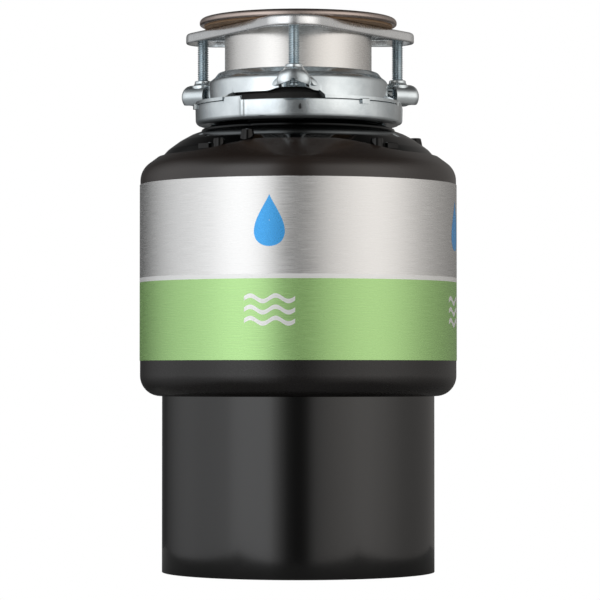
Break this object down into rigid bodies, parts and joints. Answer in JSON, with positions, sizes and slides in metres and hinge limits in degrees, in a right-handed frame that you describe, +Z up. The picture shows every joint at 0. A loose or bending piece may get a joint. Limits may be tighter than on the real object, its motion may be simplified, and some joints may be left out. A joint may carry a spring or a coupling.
{
  "type": "kitchen waste disposer",
  "caption": "Cylindrical under-sink food waste disposer with a banded metal wrap, tapered lower motor shell, screw-clamped sink mount and rear outlet elbow.",
  "frame": {"origin": "centre of the wrench hole's mouth in the lower end frame, on the motor shaft's axis and level with the base", "axes": "+Z up along the motor shaft towards the sink, front towards -Y, outlet at the back towards +Y"},
  "size_m": [0.1786, 0.2363, 0.311],
  "materials": {
    "shell_grey": "satin",
    "rim_black": "gloss",
    "cover_brown": "satin",
    "chamber_black": "gloss",
    "label": "brushed, with a green band",
    "zinc": "zinc plated",
    "stainless": "brushed",
    "screw_zinc": "bright zinc",
    "steel": "machined",
    "cast": "die cast",
    "lamination": "stacked sheet",
    "copper": "varnished wire",
    "bronze": "sintered",
    "rubber": "matt",
    "fibre": "pressed fibre",
    "foam": "foam",
    "plastic": "moulded",
    "outlet": "moulded",
    "red": "moulded",
    "green_screw": "plated"
  },
  "bodies": {
    "housing": {"trim_shell": "shell_grey", "lower_end_frame": "cast", "through_bolts": "steel", "terminal_cover": "zinc", "cover_screw": "steel", "ground_screw": "green_screw", "overload_protector": "plastic", "reset_spring": "steel", "start_switch": "plastic", "stator_core": "lamination", "stator_windings": "copper", "lower_bearing": "bronze", "thrust_washer": "fibre", "upper_bearing": "bronze", "shaft_seal": "rubber", "upper_end_frame": "cast", "bearing_hub": "cast", "drain_chamber": "cast", "outlet_boss": "cast", "chamber_gasket": "rubber", "chamber_screws": "steel", "discharge_gasket": "rubber", "discharge_tube": "outlet", "discharge_flange": "zinc", "discharge_screws": "steel", "container_body": "chamber_black", "dishwasher_inlet": "outlet", "inlet_plug": "outlet", "shredder_ring": "stainless", "lower_casing": "rim_black", "upper_casing": "cover_brown", "sound_insulation": "foam", "wrap_label": "label", "sink_flange": "stainless", "snap_ring": "steel", "mounting_gasket": "rubber", "splash_baffle": "rubber", "upper_mounting_ring": "zinc"},
    "rotor": {"shaft": "steel", "rotor_core": "lamination", "rotor_end_rings": "cast", "turntable": "stainless", "turntable_hub": "stainless", "turntable_nut": "steel", "impeller_pins": "steel"},
    "switch_weight": {"switch_actuator": "plastic"},
    "impeller_1": {"impeller_1": "stainless"},
    "impeller_2": {"impeller_2": "stainless"},
    "lock_ring": {"lower_mounting_ring": "zinc"},
    "clamp": {"backup_flange": "zinc", "fiber_gasket": "fibre"},
    "screw_1": {"mounting_screw_1": "screw_zinc"},
    "screw_2": {"mounting_screw_2": "screw_zinc"},
    "screw_3": {"mounting_screw_3": "screw_zinc"},
    "reset": {"reset_button": "red"}
  },
  "joints": [
    {"name": "motor_spin", "type": "hinge", "parent": "housing", "child": "rotor", "pos_m": [0, 0, 0.1], "axis": [0, 0, 1], "continuous": true},
    {"name": "impeller_1_swing", "type": "hinge", "parent": "rotor", "child": "impeller_1", "pos_m": [0.045, 0, 0.165], "axis": [0, 0, 1], "continuous": true},
    {"name": "impeller_2_swing", "type": "hinge", "parent": "rotor", "child": "impeller_2", "pos_m": [-0.045, 0, 0.165], "axis": [0, 0, 1], "continuous": true},
    {"name": "switch_weight_slide", "type": "slide", "parent": "rotor", "child": "switch_weight", "axis": [0, 0, -1], "range_m": [0, 0.0022], "stiffness_N_per_m": 500, "springref_m": -0.001},
    {"name": "ring_lock", "type": "hinge", "parent": "housing", "child": "lock_ring", "pos_m": [0, 0, 0.256], "axis": [0, 0, 1], "range_deg": [0, 40]},
    {"name": "clamp_travel", "type": "slide", "parent": "housing", "child": "clamp", "axis": [0, 0, 1], "range_m": [-0.012, 0]},
    {"name": "screw_1_turn", "type": "hinge", "parent": "clamp", "child": "screw_1", "pos_m": [-0.00225, -0.06446, 0.283], "axis": [0, 0, 1], "range_deg": [-3402.6, 0]},
    {"name": "screw_2_turn", "type": "hinge", "parent": "clamp", "child": "screw_2", "pos_m": [0.05695, 0.03028, 0.283], "axis": [0, 0, 1], "range_deg": [-3402.6, 0]},
    {"name": "screw_3_turn", "type": "hinge", "parent": "clamp", "child": "screw_3", "pos_m": [-0.0547, 0.03418, 0.283], "axis": [0, 0, 1], "range_deg": [-3402.6, 0]},
    {"name": "reset_press", "type": "slide", "parent": "housing", "child": "reset", "axis": [0, 0, 1], "range_m": [0, 0.002], "stiffness_N_per_m": 600, "springref_m": -0.001, "deforming": ["reset_spring"]}
  ],
  "couplings": [
    {"joint": "screw_1_turn", "follows": "clamp_travel", "rad_per_m": 4947.4},
    {"joint": "screw_2_turn", "follows": "clamp_travel", "rad_per_m": 4947.4},
    {"joint": "screw_3_turn", "follows": "clamp_travel", "rad_per_m": 4947.4}
  ]
}
